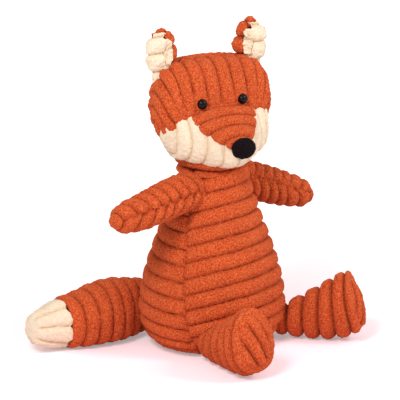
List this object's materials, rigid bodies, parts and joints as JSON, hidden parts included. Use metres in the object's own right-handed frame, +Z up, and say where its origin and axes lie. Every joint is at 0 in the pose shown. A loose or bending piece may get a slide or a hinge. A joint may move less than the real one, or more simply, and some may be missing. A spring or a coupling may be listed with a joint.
{
  "type": "plush fox",
  "caption": "Seated stuffed toy fox of wide-wale orange cord with cream cheeks, ears and tail tip, on sprung limb, tail and head joints; rests on its flat base panel.",
  "frame": {"origin": "centre of the flat base panel that the toy sits on", "axes": "+Z up; the body faces -Y and the toy's right side is -X"},
  "size_m": [0.2213, 0.222, 0.2585],
  "materials": {
    "orange_cord": "matte",
    "cream_cord": "matte",
    "nose_pile": "matte",
    "eye_gloss": "gloss",
    "washer_plastic": "matte",
    "fibre_fill": "matte",
    "pouch_cloth": "matte"
  },
  "bodies": {
    "torso": {"body_front_panel": "orange_cord", "body_back_panel": "orange_cord", "body_base": "orange_cord", "body_stuffing": "fibre_fill", "bean_pouch": "pouch_cloth"},
    "neck": {"neck_collar": "orange_cord"},
    "head": {"head_cover": "orange_cord", "head_back_panel": "orange_cord", "muzzle_bridge": "orange_cord", "cheek_right": "cream_cord", "cheek_left": "cream_cord", "head_stuffing": "fibre_fill", "nose": "nose_pile", "eye_right": "eye_gloss", "eye_left": "eye_gloss", "eye_right_washer": "washer_plastic", "eye_left_washer": "washer_plastic", "ear_right_outer": "orange_cord", "ear_right_inner": "cream_cord", "ear_left_outer": "orange_cord", "ear_left_inner": "cream_cord"},
    "arm_right": {"arm_right_cover": "orange_cord", "arm_right_stuffing": "fibre_fill"},
    "arm_left": {"arm_left_cover": "orange_cord", "arm_left_stuffing": "fibre_fill"},
    "leg_right": {"leg_right_cover": "orange_cord", "leg_right_stuffing": "fibre_fill", "sole_right": "orange_cord"},
    "leg_left": {"leg_left_cover": "orange_cord", "leg_left_stuffing": "fibre_fill", "sole_left": "orange_cord"},
    "tail": {"tail_cover": "orange_cord", "tail_tip": "cream_cord", "tail_stuffing": "fibre_fill"}
  },
  "joints": [
    {"name": "head_turn", "type": "hinge", "parent": "torso", "child": "neck", "pos_m": [0, 0, 0.15], "axis": [0, 0, 1], "range_deg": [-20, 75], "stiffness_Nm_per_rad": 0.4},
    {"name": "head_nod", "type": "hinge", "parent": "neck", "child": "head", "pos_m": [0.00286, 0.00527, 0.1935], "axis": [-0.8788, 0.4772, 0], "range_deg": [-5, 25], "stiffness_Nm_per_rad": 0.5},
    {"name": "arm_right_swing", "type": "hinge", "parent": "torso", "child": "arm_right", "pos_m": [-0.033, 0, 0.128], "axis": [0, 0, 1], "range_deg": [-16, 59], "stiffness_Nm_per_rad": 0.1},
    {"name": "arm_left_swing", "type": "hinge", "parent": "torso", "child": "arm_left", "pos_m": [0.033, 0, 0.128], "axis": [0, 0, -1], "range_deg": [-52, 23], "stiffness_Nm_per_rad": 0.1},
    {"name": "leg_right_lift", "type": "hinge", "parent": "torso", "child": "leg_right", "pos_m": [-0.047, -0.033, 0.015], "axis": [-0.9135, 0.4067, 0], "range_deg": [-60, 20], "stiffness_Nm_per_rad": 0.1},
    {"name": "leg_left_lift", "type": "hinge", "parent": "torso", "child": "leg_left", "pos_m": [0.038, -0.046, 0.015], "axis": [-0.9135, -0.4067, 0], "range_deg": [-60, 20], "stiffness_Nm_per_rad": 0.1},
    {"name": "tail_swing", "type": "hinge", "parent": "torso", "child": "tail", "pos_m": [0, 0.0574, 0.025], "axis": [0, 0, 1], "range_deg": [-135, 4], "stiffness_Nm_per_rad": 0.06}
  ]
}
